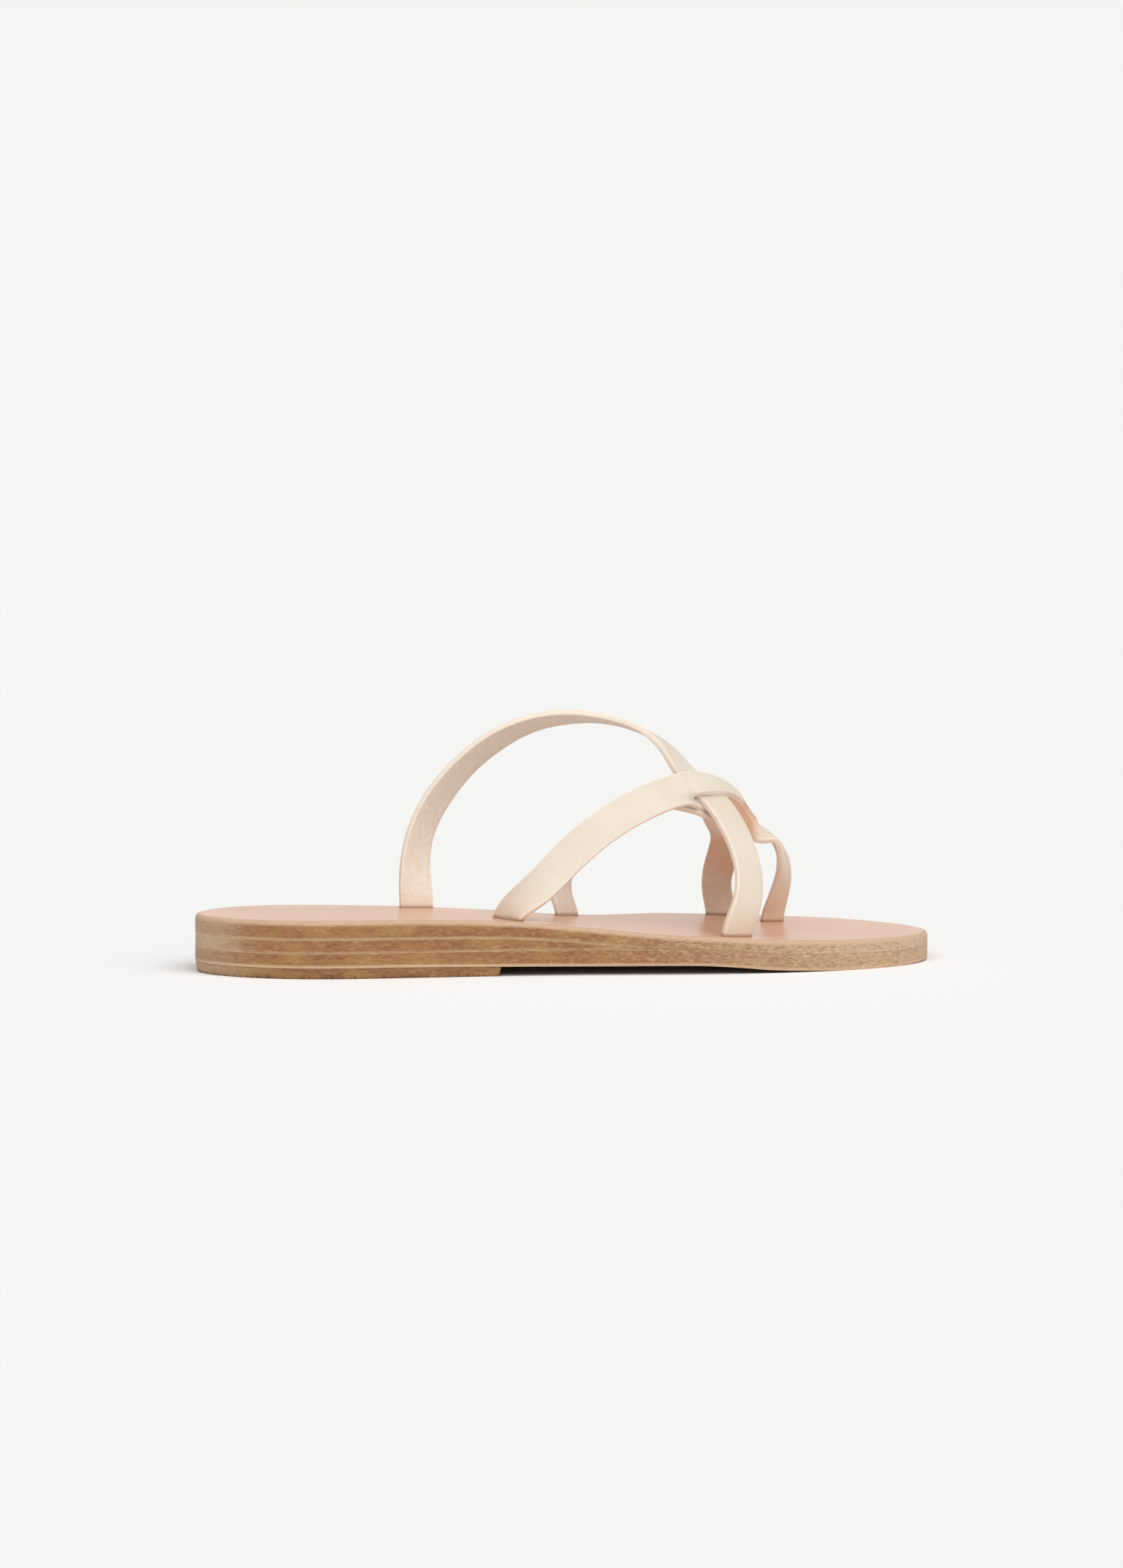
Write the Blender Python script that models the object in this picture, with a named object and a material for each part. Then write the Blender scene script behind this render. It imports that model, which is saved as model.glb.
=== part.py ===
# Toe post sandal for the right foot: a stacked leather sole and three straps joined where they cross.
# The toe points along +X, the inner side of the foot is +Y, and the sole stands on Z = 0.
# Sizes are in millimetres. A place on the shoe is given from the back of the heel (x)
# and across from the heel's middle line (y, positive to the inner side).
import math

import bmesh
import bpy
import numpy as np

MM = 0.001

# Sole: closed outline, from the heel along the inner edge to the toe and back along the outer edge.
SOLE_OUTLINE = (
    (0.0, 2.0), (8.0, 19.5), (28.0, 27.5), (60.0, 20.5), (94.0, 12.0), (126.0, 14.5), (153.0, 34.0),
    (180.0, 45.5), (205.0, 44.5), (226.0, 35.0), (241.0, 19.5), (248.0, 2.0), (244.0, -16.0),
    (230.0, -29.5), (205.0, -38.5), (166.0, -40.5), (131.0, -35.5), (95.0, -31.5), (61.0, -30.0),
    (30.0, -26.5), (9.0, -14.5),
)
OUTLINE_SAMPLES = 3000
OUTLINE_RUNGS = 46
# Share of a half turn by which the rungs close up towards the square front of a short layer.
SQUARE_FRONT_TURN = 0.62

LAYER_GAP = 0.3
LIFT_FRONT = 95.0

# Height of the outsole off the ground, then how thick the outsole, the wedge and the insole are at x.
# The waist runs level with the lift and bends down at the ball of the foot.
# The forefoot rests flat between 212 and 230, and the toe springs up a little beyond.
SOLE_COLUMNS = ("x", "ground_gap", "outsole", "wedge", "insole")
SOLE_PROFILE = (
    (0.0, 3.5, 5.0, 4.4, 5.8), (62.0, 3.5, 5.0, 4.4, 5.8), (88.0, 3.25, 5.25, 4.15, 5.35),
    (106.0, 3.1, 5.45, 3.55, 4.85), (120.0, 3.0, 5.5, 2.5, 4.6), (134.0, 2.95, 5.5, 1.3, 4.45),
    (150.0, 2.95, 5.4, 0.1, 4.25), (162.0, 2.8, 5.2, 0.0, 4.0), (173.0, 2.1, 5.2, 0.0, 4.0),
    (184.0, 1.05, 5.2, 0.0, 4.4), (195.0, 0.5, 5.2, 0.0, 4.5), (212.0, 0.0, 5.2, 0.0, 4.4),
    (230.0, 0.0, 5.05, 0.0, 4.3), (248.5, 0.6, 4.6, 0.0, 3.9),
)
WEDGE_THIN_END = 0.5
WEDGE_SAMPLES = 1000

INSOLE_EDGE = 1.5
INSOLE_EDGE_ROUND = 0.35
OUTSOLE_EDGE = 0.7
LIFT_INSET = 0.5
# The lift's lower edge is rubbed round: how far in, and how high, at its bottom and its bend.
LIFT_EDGE = ((1.3, 0.0), (0.8, 0.8))
WEDGE_INSET = 0.2

# Straps: middle line, the way the outer face looks (turn from +X, tilt above level, degrees), width.
# The first and last rows are the anchors, where the strap goes down into its slot in the insole.
STRAP_COLUMNS = ("x", "y", "z", "turn", "tilt", "width")
STRAP_THICKNESS = 2.0
STRAP_CHAMFER = 0.35
STATION_SPACING = 3.2
SLOT_CLEARANCE = 0.3
STRAP_END_SHORT = 0.9
SLOT_OVERCUT = 2.0

INSTEP_STRAP = (
    (75.6, 10.8, None, 92, 0, 11.2),
    (76.4, 16.0, 33.6, 112, 2, 11.5),
    (79.7, 19.2, 45.4, 123, 3, 11.5),
    (85.9, 20.0, 56.0, 125, 8, 11.5),
    (93.3, 19.5, 64.8, 127, 17, 11.5),
    (104.5, 18.0, 73.8, 126, 30, 11.5),
    (116.5, 15.5, 79.5, 123, 49, 11.5),
    (129.0, 12.5, 81.5, 95, 69, 11.5),
    (141.0, 9.5, 80.6, 40, 76, 11.5),
    (151.5, 6.5, 77.0, -5, 57, 11.5),
    (159.6, 3.5, 70.6, -30, 53, 11.5),
    (165.0, 0.5, 63.2, -47, 50, 11.5),
    (172.4, -3.6, 55.8, -58, 44, 11.5),
    (178.5, -10.6, 45.8, -60, 34, 11.5),
    (180.7, -18.5, 36.5, -63, 20, 11.3),
    (179.9, -26.8, 27.3, -67, 10, 11.2),
    (176.7, -32.0, 19.0, -69, 2, 11.2),
    (174.0, -33.0, None, -70, 0, 11.2),
)
TOE_STRAP = (
    (99.4, -22.0, None, -140, 26, 11.8),
    (107.0, -22.5, 26.0, -125, 22, 11.6),
    (118.6, -21.5, 36.6, -112, 14, 11.5),
    (128.1, -20.5, 44.6, -104, 14, 11.5),
    (138.3, -18.0, 50.8, -98, 18, 11.5),
    (150.2, -14.0, 55.7, -94, 25, 11.5),
    (160.5, -9.2, 58.0, -86, 34, 11.5),
    (171.8, -3.5, 57.2, -68, 44, 11.8),
    (182.8, 2.0, 51.9, -48, 50, 12.0),
    (190.5, 7.0, 44.0, -18, 52, 11.0),
    (196.8, 11.5, 40.8, -8, 48, 9.8),
    (202.2, 15.5, 34.0, -32, 24, 9.6),
    (204.0, 18.5, 26.0, -48, 8, 8.9),
    (202.7, 20.5, 17.9, -58, 0, 8.7),
    (201.3, 22.0, None, -71, 0, 8.6),
)
ARCH_STRAP = (
    (126.6, 9.0, None, 128, 0, 10.4),
    (125.2, 13.0, 23.6, 122, 8, 10.4),
    (127.0, 15.0, 31.6, 116, 18, 10.4),
    (134.2, 15.0, 40.2, 108, 30, 10.4),
    (142.6, 12.5, 47.0, 95, 45, 10.4),
    (152.0, 8.0, 51.4, 60, 62, 10.8),
    (161.0, 2.5, 53.0, -50, 68, 11.0),
    (169.0, -2.5, 53.3, -72, 46, 11.0),
    (176.4, 5.5, 45.6, -10, 48, 10.8),
    (184.0, 19.5, 38.6, 42, 38, 10.4),
    (185.6, 32.0, 29.4, 64, 22, 10.4),
    (186.4, 39.0, 20.3, 74, 8, 10.2),
    (188.5, 41.5, None, 74, 0, 10.2),
)

# The toe strap is slit lengthwise at the crossing, so that the instep strap passes through it.
# Its line across the strap: x, and how far from the strap's middle towards the upper edge.
SLIT = ((164.5, -3.4), (172.0, -2.2), (180.0, 0.0), (186.0, 1.2), (189.0, 0.2), (190.8, -2.4))
# A lip starts and ends at these x, and eases in and out over these lengths.
UPPER_LIP = ((156.0, 191.2), (9.0, 2.4))
LOWER_LIP = ((160.0, 198.0), (9.0, 9.0))
# The lower lip drops whole under the instep strap, and only along its outer edge in front of it.
LOWER_LIP_TURN = (175.0, 181.0)
LIP_RISE = 1.7
LIP_DROP = 2.8
LIPS = ("upper", "lower")
SLIT_CORNERS = (0, 5)


def remove_all_objects():
    for item in list(bpy.data.objects):
        bpy.data.objects.remove(item, do_unlink=True)


def ease(value):
    value = np.clip(value, 0.0, 1.0)
    return value * value * (3.0 - 2.0 * value)


def spline(points, closed=False):
    """A cubic spline through the points, as a function of distance along their chords."""
    points = np.array(points, dtype=float)
    if closed:
        points = np.vstack([points, points[:1]])
    steps = np.linalg.norm(np.diff(points[:, :2 if closed else 3], axis=0), axis=1)
    knots = np.concatenate([[0.0], np.cumsum(steps)])
    count = len(points)
    system = np.zeros((count, count))
    target = np.zeros_like(points)
    for i in range(1, count - 1):
        system[i, i - 1:i + 2] = steps[i - 1], 2.0 * (steps[i - 1] + steps[i]), steps[i]
        slope_ahead = (points[i + 1] - points[i]) / steps[i]
        slope_behind = (points[i] - points[i - 1]) / steps[i - 1]
        target[i] = 6.0 * (slope_ahead - slope_behind)
    if closed:
        system[0, [0, -1]] = 1.0, -1.0
        system[-1, [0, 1]] = 2.0 * steps[0], steps[0]
        system[-1, [-2, -1]] = steps[-1], 2.0 * steps[-1]
        target[-1] = 6.0 * ((points[1] - points[0]) / steps[0] - (points[-1] - points[-2]) / steps[-1])
    else:
        system[0, 0] = system[-1, -1] = 1.0
    bends = np.linalg.solve(system, target)

    def at(distance):
        distance = np.asarray(distance, dtype=float)
        k = np.clip(np.searchsorted(knots, distance, side="right") - 1, 0, count - 2)
        step = steps[k][:, None]
        b = (distance - knots[k])[:, None] / step
        a = 1.0 - b
        return (a * points[k] + b * points[k + 1]
                + ((a ** 3 - a) * bends[k] + (b ** 3 - b) * bends[k + 1]) * step ** 2 / 6.0)

    return at, knots[-1]


def sole_edges():
    """The sole's inner and outer edges as functions of the distance from the heel, and its two ends."""
    at, length = spline(SOLE_OUTLINE, closed=True)
    ring = at(np.linspace(0.0, length, OUTLINE_SAMPLES, endpoint=False))
    ring = np.roll(ring, -int(np.argmin(ring[:, 0])), axis=0)
    toe = int(np.argmax(ring[:, 0]))
    inner = ring[:toe + 1]
    outer = np.vstack([ring[toe:], ring[:1]])[::-1]
    return inner, outer


INNER_EDGE, OUTER_EDGE = sole_edges()
HEEL_END = INNER_EDGE[0]
TOE_END = INNER_EDGE[-1]
CENTRE = np.array([
    (HEEL_END[0] + TOE_END[0]) / 2.0,
    (INNER_EDGE[:, 1].max() + OUTER_EDGE[:, 1].min()) / 2.0,
    0.0,
])


def sole_width(x):
    """Across from the middle line to the inner and the outer edge at x."""
    inner = np.interp(x, INNER_EDGE[:, 0], INNER_EDGE[:, 1])
    outer = np.interp(x, OUTER_EDGE[:, 0], OUTER_EDGE[:, 1])
    return inner, outer


def sole_profile(x, column):
    """A column of the sole's profile at x, eased between its rows."""
    table = np.array(SOLE_PROFILE)
    rows, values = table[:, 0], table[:, SOLE_COLUMNS.index(column)]
    slopes = np.gradient(values, rows)
    x = np.clip(x, rows[0], rows[-1])
    k = np.clip(np.searchsorted(rows, x, side="right") - 1, 0, len(rows) - 2)
    step = rows[k + 1] - rows[k]
    b = (x - rows[k]) / step
    flat = values[k] == values[k + 1]
    start, end = np.where(flat, 0.0, slopes[k]), np.where(flat, 0.0, slopes[k + 1])
    return (values[k] + (values[k + 1] - values[k]) * ease(b)
            + step * b * (1.0 - b) * (start * (1.0 - b) - end * b))


def outsole_bottom(x):
    return sole_profile(x, "ground_gap")


def outsole_top(x):
    return outsole_bottom(x) + sole_profile(x, "outsole")


def wedge_room(x):
    return np.maximum(sole_profile(x, "wedge"), 0.0)


def insole_bottom(x):
    return outsole_top(x) + LAYER_GAP + wedge_room(x)


def insole_top(x):
    return insole_bottom(x) + sole_profile(x, "insole")


def wedge_end():
    reach = np.linspace(LIFT_FRONT, TOE_END[0], WEDGE_SAMPLES)
    return float(reach[np.argmax(wedge_room(reach) < LAYER_GAP + WEDGE_THIN_END)])


def material(name, colour, roughness):
    made = bpy.data.materials.new(name)
    made.use_nodes = True
    shader = made.node_tree.nodes["Principled BSDF"]
    shader.inputs["Base Color"].default_value = (*colour, 1.0)
    shader.inputs["Roughness"].default_value = roughness
    shader.inputs["Metallic"].default_value = 0.0
    return made


def add_object(name, vertices, faces, finish):
    """An object whose vertices are in millimetres on the shoe, placed about the sole's centre."""
    mesh = bpy.data.meshes.new(name)
    placed = (np.array(vertices, dtype=float) - CENTRE) * MM
    mesh.from_pydata(placed.tolist(), [], faces)
    work = bmesh.new()
    work.from_mesh(mesh)
    bmesh.ops.recalc_face_normals(work, faces=work.faces)
    work.to_mesh(mesh)
    work.free()
    mesh.materials.append(finish)
    made = bpy.data.objects.new(name, mesh)
    bpy.context.scene.collection.objects.link(made)
    return made


def plan_ring(inset, x_end=None):
    """Points round the sole's outline, inset from its edge. With x_end its front is square there."""
    last = TOE_END[0] if x_end is None else x_end
    turn = np.linspace(0.0, math.pi * (1.0 if x_end is None else SQUARE_FRONT_TURN), OUTLINE_RUNGS)
    share = (1.0 - np.cos(turn)) / (1.0 - math.cos(turn[-1]))
    x = HEEL_END[0] + (last - HEEL_END[0]) * share
    inner, outer = sole_width(x)
    stop = OUTLINE_RUNGS - 2 if x_end is None else OUTLINE_RUNGS - 1
    ring = [(x[i], inner[i]) for i in range(OUTLINE_RUNGS)]
    ring += [(x[i], outer[i]) for i in range(stop, 0, -1)]
    ring = np.array(ring)
    along = np.roll(ring, -1, axis=0) - np.roll(ring, 1, axis=0)
    along /= np.linalg.norm(along, axis=1)[:, None]
    inward = np.stack([along[:, 1], -along[:, 0]], axis=1)
    return ring + inward * inset


def cap_faces(start, count, closed_toe):
    """Quads across a ring from its inner to its outer side, with a triangle at each closed end."""
    faces = [(start, start + 1, start + count - 1)]
    near, far = 1, count - 1
    while far - near > 2:
        faces.append((start + near, start + near + 1, start + far - 1, start + far))
        near, far = near + 1, far - 1
    if closed_toe and far - near == 2:
        faces.append((start + near, start + near + 1, start + far))
    return faces


def add_layer(name, levels, finish, x_end=None):
    """A sole layer through rings from its bottom to its top. A level is (inset, height at x)."""
    vertices = []
    faces = []
    count = len(plan_ring(0.0, x_end))
    for inset, height in levels:
        ring = plan_ring(inset, x_end)
        vertices += [(x, y, float(height(x))) for x, y in ring]
    for level in range(len(levels) - 1):
        low, high = level * count, (level + 1) * count
        for i in range(count):
            j = (i + 1) % count
            faces.append((low + i, low + j, high + j, high + i))
    faces += cap_faces(0, count, x_end is None)
    faces += cap_faces((len(levels) - 1) * count, count, x_end is None)
    return add_object(name, vertices, faces, finish)


def facing(turn, tilt):
    turn, tilt = math.radians(turn), math.radians(tilt)
    return math.cos(tilt) * math.cos(turn), math.cos(tilt) * math.sin(turn), math.sin(tilt)


def strap_stations(rows, extend):
    """Middle points, outward and across directions and widths at even steps along a strap."""
    table = [dict(zip(STRAP_COLUMNS, row)) for row in rows]
    points = []
    for row in table:
        height = insole_top(row["x"]) if row["z"] is None else row["z"]
        points.append((row["x"], row["y"], float(height), *facing(row["turn"], row["tilt"]), row["width"]))
    for end, place in ((0, 0), (-1, len(points) + 1)):
        x, y = points[end][:2]
        depth = float(insole_bottom(x)) + STRAP_END_SHORT
        points.insert(place, (x, y, depth, *facing(table[end]["turn"], 0.0), table[end]["width"]))
    at, length = spline(points)
    steps = int(round(length / STATION_SPACING))
    samples = at(np.linspace(0.0, length, steps + 1))
    middle = samples[:, :3]
    along = np.gradient(middle, axis=0)
    along[0] = (0.0, 0.0, 1.0)
    along[-1] = (0.0, 0.0, -1.0)
    along /= np.linalg.norm(along, axis=1)[:, None]
    outward = samples[:, 3:6]
    outward = outward - np.sum(outward * along, axis=1)[:, None] * along
    outward /= np.linalg.norm(outward, axis=1)[:, None]
    across = np.cross(outward, along)
    for end, next_in in ((0, 1), (-1, -2)):
        step = middle[end] - middle[next_in]
        middle[end] += step * (extend / np.linalg.norm(step))
    return middle, outward, across, samples[:, 6]


def plateau(x, lip):
    (start, end), (ease_in, ease_out) = lip
    return float(ease((x - start) / ease_in) * ease((end - x) / ease_out))


def strap_section(half_width, half_thick, cut):
    """Corners of the strap's two lips, across and outward, each from the slit round its edge and back."""
    trim = min(STRAP_CHAMFER, half_thick / 2.0)
    face = half_width - trim
    wall = half_thick - trim
    lips = []
    for side in (1.0, -1.0):
        lips.append((
            (cut, half_thick), (side * face, half_thick), (side * half_width, wall),
            (side * half_width, -wall), (side * face, -half_thick), (cut, -half_thick),
        ))
    return lips


def add_strap(name, rows, finish, slit=None, grow=0.0, extend=0.0):
    """A strap swept along its stations, with chamfered edges and, where asked, a lengthwise slit."""
    half_thick = STRAP_THICKNESS / 2.0 + grow
    vertices = []
    rings = []
    for here, out, across, width in zip(*strap_stations(rows, extend)):
        rise = LIP_RISE * plateau(here[0], UPPER_LIP) if slit else 0.0
        drop = LIP_DROP * plateau(here[0], LOWER_LIP) if slit else 0.0
        cut = float(np.interp(here[0], *zip(*slit))) if slit else 0.0
        is_open = slit is not None and slit[0][0] < here[0] < slit[-1][0]
        sections = strap_section(width / 2.0 + grow, half_thick, cut)
        ring = {}
        whole = 1.0 - float(ease((here[0] - LOWER_LIP_TURN[0]) / (LOWER_LIP_TURN[1] - LOWER_LIP_TURN[0])))
        for lip, corners in zip(LIPS, sections):
            ring[lip] = []
            for k, (sideways, outward) in enumerate(corners):
                shared = k in SLIT_CORNERS and not is_open
                if shared and lip == "lower":
                    ring[lip].append(ring["upper"][k])
                    continue
                from_slit = (cut - sideways) / (cut + width / 2.0)
                lowered = drop * (whole + (1.0 - whole) * from_slit)
                lift = (rise - lowered) / 2.0 if shared else rise if lip == "upper" else -lowered
                ring[lip].append(len(vertices))
                vertices.append(here + across * sideways + out * (outward + lift))
        rings.append((ring, is_open))
    faces = []
    for (ring, open_here), (ahead, open_ahead) in zip(rings[:-1], rings[1:]):
        for lip in LIPS:
            for a in range(6 if open_here or open_ahead else 5):
                b = (a + 1) % 6
                faces.append((ring[lip][a], ring[lip][b], ahead[lip][b], ahead[lip][a]))
    for ring, _ in (rings[0], rings[-1]):
        faces.append(tuple(ring["upper"] + ring["lower"][4:0:-1]))
    return add_object(name, vertices, faces, finish)


def combine(target, other, operation):
    """Joins other into target, or cuts it away, and removes other."""
    step = target.modifiers.new(operation, "BOOLEAN")
    step.operation = operation
    step.solver = "EXACT"
    step.object = other
    shaped = bpy.data.meshes.new_from_object(target.evaluated_get(bpy.context.evaluated_depsgraph_get()))
    target.modifiers.clear()
    old = target.data
    target.data = shaped
    shaped.name = target.name
    bpy.data.meshes.remove(old)
    bpy.data.objects.remove(other, do_unlink=True)


def build():
    remove_all_objects()
    strap_leather = material("cream strap leather", (0.84, 0.75, 0.64), 0.6)
    insole_leather = material("tan insole leather", (0.76, 0.54, 0.42), 0.45)
    sole_leather = material("raw edge sole leather", (0.42, 0.26, 0.13), 0.75)
    lift_leather = material("heel lift leather", (0.40, 0.22, 0.11), 0.7)

    add_layer("heel_lift", (
        (LIFT_EDGE[0][0], lambda x: LIFT_EDGE[0][1]),
        (LIFT_EDGE[1][0], lambda x: LIFT_EDGE[1][1]),
        (LIFT_INSET, lambda x: outsole_bottom(x) - LAYER_GAP),
    ), lift_leather, x_end=LIFT_FRONT)
    add_layer("outsole", (
        (OUTSOLE_EDGE, outsole_bottom),
        (0.0, lambda x: outsole_bottom(x) + OUTSOLE_EDGE),
        (0.0, outsole_top),
    ), sole_leather)
    add_layer("heel_wedge", (
        (WEDGE_INSET, lambda x: outsole_top(x) + LAYER_GAP),
        (WEDGE_INSET, lambda x: insole_bottom(x) - LAYER_GAP),
    ), sole_leather, x_end=wedge_end())
    insole = add_layer("insole", (
        (0.0, insole_bottom),
        (0.0, lambda x: insole_top(x) - INSOLE_EDGE),
        (INSOLE_EDGE_ROUND * INSOLE_EDGE, lambda x: insole_top(x) - INSOLE_EDGE_ROUND * INSOLE_EDGE),
        (INSOLE_EDGE, insole_top),
    ), insole_leather)

    straps = ((INSTEP_STRAP, None), (TOE_STRAP, SLIT), (ARCH_STRAP, None))
    for rows, slit in straps:
        slot = add_strap("slot", rows, insole_leather, slit, SLOT_CLEARANCE, SLOT_OVERCUT)
        combine(insole, slot, "DIFFERENCE")

    upper = None
    for rows, slit in straps:
        strap = add_strap("upper" if upper is None else "strap", rows, strap_leather, slit)
        if upper is None:
            upper = strap
        else:
            combine(upper, strap, "UNION")
    for face in upper.data.polygons:
        face.use_smooth = True


build()
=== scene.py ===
import math

import bmesh
import bpy
import numpy as np
from mathutils import Matrix, Vector


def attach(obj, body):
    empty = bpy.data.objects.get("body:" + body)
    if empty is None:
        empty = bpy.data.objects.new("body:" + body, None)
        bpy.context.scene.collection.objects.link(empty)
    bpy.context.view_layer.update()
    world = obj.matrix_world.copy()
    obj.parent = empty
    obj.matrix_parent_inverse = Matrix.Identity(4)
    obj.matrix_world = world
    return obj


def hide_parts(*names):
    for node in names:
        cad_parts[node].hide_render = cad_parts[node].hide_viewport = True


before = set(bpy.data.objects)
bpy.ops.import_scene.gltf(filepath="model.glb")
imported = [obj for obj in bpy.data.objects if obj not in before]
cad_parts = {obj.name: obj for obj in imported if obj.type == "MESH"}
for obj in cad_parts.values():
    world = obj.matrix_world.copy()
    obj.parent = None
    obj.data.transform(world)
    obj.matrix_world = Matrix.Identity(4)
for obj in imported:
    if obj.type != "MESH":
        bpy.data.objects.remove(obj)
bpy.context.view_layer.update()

mm = 0.001


# Materials

def linear(colour):
    parts = [int(colour[i:i + 2], 16) / 255 for i in (1, 3, 5)]
    return [p / 12.92 if p <= 0.04045 else ((p + 0.055) / 1.055) ** 2.4 for p in parts] + [1.0]


def addNode(tree, kind, settings=None, values=None, links=None, ramp=()):
    node = tree.nodes.new(kind)
    for name, value in (settings or {}).items():
        setattr(node, name, value)
    for socket, value in (values or {}).items():
        node.inputs[socket].default_value = linear(value) if isinstance(value, str) else value
    for socket, source in (links or {}).items():
        tree.links.new(source, node.inputs[socket])
    if ramp:  # stops as (place, colour or grey level)
        stops = node.color_ramp.elements
        while len(stops) < len(ramp):
            stops.new(0.5)
        for stop, (place, colour) in zip(stops, ramp):
            stop.position = place
            stop.color = linear(colour) if isinstance(colour, str) else (colour, colour, colour, 1.0)
    return node


def startMaterial(name, roughness, specular):
    made = bpy.data.materials.new(name)
    made.use_nodes = True
    shader = made.node_tree.nodes["Principled BSDF"]
    shader.inputs["Roughness"].default_value = roughness
    shader.inputs["Specular IOR Level"].default_value = specular
    return made, made.node_tree, shader


def perMm(size):
    return 1.0 / (size * mm)  # texture scale for a feature of this size in mm


grainLook = {
    "base": "#E0D4C4", "mottle": "#DAC7B5", "roughness": 0.48, "mottleMm": 14.0, "mottleShare": 0.5,
    "poreMm": 1.1, "poreDeepMm": 0.12,  # pores drawn about twice their size so that they show
}
fleshLook = {
    "base": "#E7D9CA", "mottle": "#D9C4B0", "roughness": 0.72, "mottleMm": 1.6, "mottleShare": 0.55,
    "poreMm": 0.9, "poreDeepMm": 0.25,
}
edgeLook = {
    "base": "#F1E3D4", "mottle": "#E8D3C0", "roughness": 0.6, "mottleMm": 1.2, "mottleShare": 0.5,
    "poreMm": 0.7, "poreDeepMm": 0.2,
}
# Painted shade: a warm tint where a strap lies in shadow and takes the light thrown up by the tan insole, and
# a dark tint where it enters its slot.
strapLook = {"warm_tint_and_shade": "#DDAA84", "painted_shade": "#A0694A", "specular": 0.35, "swellMm": 9.0, "swellDeepMm": 0.6}


def strapLeather(name, look):
    # Base colour mottled with a second one, then painted warm shade where the strap lies in shadow, and
    # painted dark shade where the strap enters its slot.
    made, tree, shader = startMaterial(name, look["roughness"], strapLook["specular"])
    place = addNode(tree, "ShaderNodeTexCoord").outputs["Object"]
    mottle = addNode(tree, "ShaderNodeTexNoise", values={"Scale": perMm(look["mottleMm"]), "Detail": 4.0},
                     links={"Vector": place})
    share = addNode(tree, "ShaderNodeValToRGB", links={"Fac": mottle.outputs["Fac"]},
                    ramp=((0.38, 0.0), (0.72, look["mottleShare"])))
    colour = addNode(tree, "ShaderNodeMix", {"data_type": "RGBA"}, {6: look["base"], 7: look["mottle"]},
                     {0: share.outputs["Color"]}).outputs[2]
    for mark in ("warm_tint_and_shade", "painted_shade"):
        painted = addNode(tree, "ShaderNodeAttribute", {"attribute_name": mark})
        colour = addNode(tree, "ShaderNodeMix", {"data_type": "RGBA"}, {7: strapLook[mark]},
                         {0: painted.outputs["Fac"], 6: colour}).outputs[2]
    tree.links.new(colour, shader.inputs["Base Color"])
    swell = addNode(tree, "ShaderNodeTexNoise", values={"Scale": perMm(strapLook["swellMm"]), "Detail": 2.0},
                    links={"Vector": place})
    pores = addNode(tree, "ShaderNodeTexNoise",
                    values={"Scale": perMm(look["poreMm"]), "Detail": 5.0, "Roughness": 0.6},
                    links={"Vector": place})
    broad = addNode(tree, "ShaderNodeBump",
                    values={"Strength": 0.25, "Distance": strapLook["swellDeepMm"] * mm},
                    links={"Height": swell.outputs["Fac"]})
    fine = addNode(tree, "ShaderNodeBump", values={"Strength": 0.35, "Distance": look["poreDeepMm"] * mm},
                   links={"Height": pores.outputs["Fac"], "Normal": broad.outputs["Normal"]})
    tree.links.new(fine.outputs["Normal"], shader.inputs["Normal"])
    return made


def strapGrain():
    # Cream vegetable-tanned leather with a buffed grain: smooth and silky, with a faint pink mottle.
    return strapLeather("cream_leather_buffed_grain", grainLook)


def strapFlesh():
    # Undyed flesh side, shaved and rolled: pinker than the grain, matt, with short dark fibres.
    return strapLeather("pink_leather_shaved_flesh", fleshLook)


def strapEdge():
    # Cut edge rubbed smooth: pale pink, a little fibrous, and painted paler still as a highlight on edges
    # that face away from the lamps.
    return strapLeather("pale_leather_rubbed_edge_and_highlight", edgeLook)


insoleLook = {
    # On the insole, the second colour is only the warmer tone of the random mottle.
    "face": "#DDB094", "warm_tint_and_shade": "#D2A083", "roughness": 0.3, "specular": 0.5, "mottleMm": 26.0,
    "waveMm": 11.0, "waveDeepMm": 0.5, "poreMm": 0.8, "poreDeepMm": 0.06,
}


def insoleFace():
    # Tan vegetable-tanned leather, glazed: satin, so that it mirrors the straps and the room at a low angle.
    made, tree, shader = startMaterial("tan_leather_glazed_face", insoleLook["roughness"],
                                       insoleLook["specular"])
    place = addNode(tree, "ShaderNodeTexCoord").outputs["Object"]
    mottle = addNode(tree, "ShaderNodeTexNoise",
                     values={"Scale": perMm(insoleLook["mottleMm"]), "Detail": 5.0},
                     links={"Vector": place})
    colour = addNode(tree, "ShaderNodeValToRGB", links={"Fac": mottle.outputs["Fac"]},
                     ramp=((0.35, insoleLook["face"]), (0.75, insoleLook["warm_tint_and_shade"])))
    tree.links.new(colour.outputs["Color"], shader.inputs["Base Color"])
    waves = addNode(tree, "ShaderNodeTexNoise", values={"Scale": perMm(insoleLook["waveMm"]), "Detail": 2.0},
                    links={"Vector": place})
    pores = addNode(tree, "ShaderNodeTexNoise", values={"Scale": perMm(insoleLook["poreMm"]), "Detail": 3.0},
                    links={"Vector": place})
    broad = addNode(tree, "ShaderNodeBump",
                    values={"Strength": 0.1, "Distance": insoleLook["waveDeepMm"] * mm},
                    links={"Height": waves.outputs["Fac"]})
    fine = addNode(tree, "ShaderNodeBump",
                   values={"Strength": 0.2, "Distance": insoleLook["poreDeepMm"] * mm},
                   links={"Height": pores.outputs["Fac"], "Normal": broad.outputs["Normal"]})
    tree.links.new(fine.outputs["Normal"], shader.inputs["Normal"])
    return made


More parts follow.
